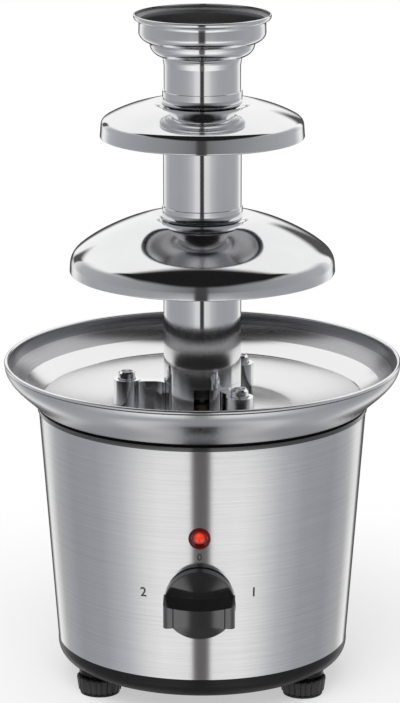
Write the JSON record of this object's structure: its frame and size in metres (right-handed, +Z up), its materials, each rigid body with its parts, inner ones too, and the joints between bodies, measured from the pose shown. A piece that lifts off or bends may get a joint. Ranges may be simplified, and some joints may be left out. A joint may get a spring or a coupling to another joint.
{
  "type": "chocolate fountain",
  "caption": "Table-top chocolate fountain: a brushed steel drum with a heated bowl, and a lift-off tower of domed tiers and a crown fed by a motor-driven auger.",
  "frame": {"origin": "on the table, on the axis of the drum and the tower", "axes": "+Z up along the tower, -Y towards the controls, +X to the right seen from the controls"},
  "size_m": [0.22, 0.22, 0.377],
  "materials": {
    "polished_steel": "mirror-polished stainless steel",
    "brushed_steel": "stainless steel brushed round the drum",
    "plain_steel": "plain steel",
    "black_gloss": "moulded black plastic with a soft gloss",
    "black_matte": "moulded dark grey plastic",
    "black_rubber": "black rubber",
    "red_silicone": "heatproof silicone",
    "auger_plastic": "food-grade grey plastic",
    "gear_plastic": "natural acetal",
    "white_plastic": "white plastic",
    "bronze": "sintered bronze",
    "brass": "turned brass",
    "cast_aluminium": "cast aluminium",
    "element_sheath": "dark oxidised sheath",
    "winding": "laminations with varnished windings",
    "red_bezel": "dark red gloss plastic",
    "red_lens": "lit red lens",
    "lead_jacket": "silicone lead jacket"
  },
  "bodies": {
    "drum": {"shaft_bush": "bronze", "bush_nut": "brass", "shaft_seal": "black_rubber", "bowl_pan": "polished_steel", "bowl_skirt": "polished_steel", "bowl_gasket": "black_rubber", "locating_pins": "polished_steel", "pin_washers": "red_silicone", "heater_plate": "cast_aluminium", "heating_element": "element_sheath", "thermostat": "white_plastic", "thermal_fuse": "white_plastic", "standoffs": "plain_steel", "gearbox_cover": "white_plastic", "gearbox_case": "white_plastic", "hanger_screws": "plain_steel", "cover_screws": "plain_steel", "idler_pin": "plain_steel", "stator": "winding", "motor_can": "plain_steel", "motor_cap": "black_matte", "motor_screws": "plain_steel", "tie_rods": "plain_steel", "housing": "brushed_steel", "base_tray": "black_matte", "terminal_block": "white_plastic", "cord_gland": "black_matte", "gland_nut": "black_matte", "switch_body": "white_plastic", "switch_nut": "plain_steel", "lamp_bezel": "red_bezel", "lamp_lens": "red_lens", "lamp_body": "white_plastic", "inner_leads": "lead_jacket", "foot_inserts": "brass"},
    "tower": {"tower_base": "polished_steel", "riser_tube": "plain_steel", "lower_sleeve": "polished_steel"},
    "lower_tier": {"lower_tier": "polished_steel"},
    "middle_sleeve": {"middle_sleeve": "polished_steel"},
    "upper_tier": {"upper_tier": "polished_steel"},
    "crown": {"crown": "polished_steel"},
    "drive": {"drive_shaft": "plain_steel", "output_gear": "gear_plastic"},
    "auger": {"auger": "auger_plastic"},
    "idler": {"idler_gear": "gear_plastic"},
    "rotor": {"rotor": "plain_steel"},
    "knob": {"knob": "black_gloss", "switch_spindle": "plain_steel"},
    "foot_1": {"foot_pad_1": "black_rubber"},
    "foot_2": {"foot_pad_2": "black_rubber"},
    "foot_3": {"foot_pad_3": "black_rubber"},
    "wheel_1": {"foot_wheel_1": "black_matte"},
    "wheel_2": {"foot_wheel_2": "black_matte"},
    "wheel_3": {"foot_wheel_3": "black_matte"}
  },
  "joints": [
    {"name": "tower_lift", "type": "slide", "parent": "drum", "child": "tower", "axis": [0, 0, 1], "range_m": [0, 0.21]},
    {"name": "lower_tier_lift", "type": "slide", "parent": "tower", "child": "lower_tier", "axis": [0, 0, 1], "range_m": [0, 0.115]},
    {"name": "middle_sleeve_lift", "type": "slide", "parent": "lower_tier", "child": "middle_sleeve", "axis": [0, 0, 1], "range_m": [0, 0.105]},
    {"name": "upper_tier_lift", "type": "slide", "parent": "middle_sleeve", "child": "upper_tier", "axis": [0, 0, 1], "range_m": [0, 0.05]},
    {"name": "crown_lift", "type": "slide", "parent": "upper_tier", "child": "crown", "axis": [0, 0, 1], "range_m": [0, 0.04]},
    {"name": "drive_spin", "type": "hinge", "parent": "drum", "child": "drive", "pos_m": [0, 0, 0.12], "axis": [0, 0, 1], "continuous": true},
    {"name": "auger_lift", "type": "slide", "parent": "drive", "child": "auger", "axis": [0, 0, 1], "range_m": [0, 0.2]},
    {"name": "idler_spin", "type": "hinge", "parent": "drum", "child": "idler", "pos_m": [0, 0.036, 0.12], "axis": [0, 0, 1], "continuous": true},
    {"name": "rotor_spin", "type": "hinge", "parent": "drum", "child": "rotor", "pos_m": [-0.02217, 0.0232, 0.08], "axis": [0, 0, 1], "continuous": true},
    {"name": "knob_turn", "type": "hinge", "parent": "drum", "child": "knob", "pos_m": [0, -0.08493, 0.0715], "axis": [0, -0.9974, -0.0726], "range_deg": [0, 180]},
    {"name": "foot_1_level", "type": "slide", "parent": "drum", "child": "foot_1", "axis": [0, 0, -1], "range_m": [-0.0011, 0.0031]},
    {"name": "wheel_1_turn", "type": "hinge", "parent": "foot_1", "child": "wheel_1", "pos_m": [0, 0.0655, 0.006], "axis": [0, 0, -1], "range_deg": [-360, 1080]},
    {"name": "foot_2_level", "type": "slide", "parent": "drum", "child": "foot_2", "axis": [0, 0, -1], "range_m": [-0.0011, 0.0031]},
    {"name": "wheel_2_turn", "type": "hinge", "parent": "foot_2", "child": "wheel_2", "pos_m": [-0.05672, -0.03275, 0.006], "axis": [0, 0, -1], "range_deg": [-360, 1080]},
    {"name": "foot_3_level", "type": "slide", "parent": "drum", "child": "foot_3", "axis": [0, 0, -1], "range_m": [-0.0011, 0.0031]},
    {"name": "wheel_3_turn", "type": "hinge", "parent": "foot_3", "child": "wheel_3", "pos_m": [0.05672, -0.03275, 0.006], "axis": [0, 0, -1], "range_deg": [-360, 1080]}
  ],
  "couplings": [
    {"joint": "idler_spin", "follows": "rotor_spin", "ratio": -0.28},
    {"joint": "drive_spin", "follows": "rotor_spin", "ratio": 0.08},
    {"joint": "foot_1_level", "follows": "wheel_1_turn", "m_per_rad": 0.00015915},
    {"joint": "foot_2_level", "follows": "wheel_2_turn", "m_per_rad": 0.00015915},
    {"joint": "foot_3_level", "follows": "wheel_3_turn", "m_per_rad": 0.00015915}
  ]
}
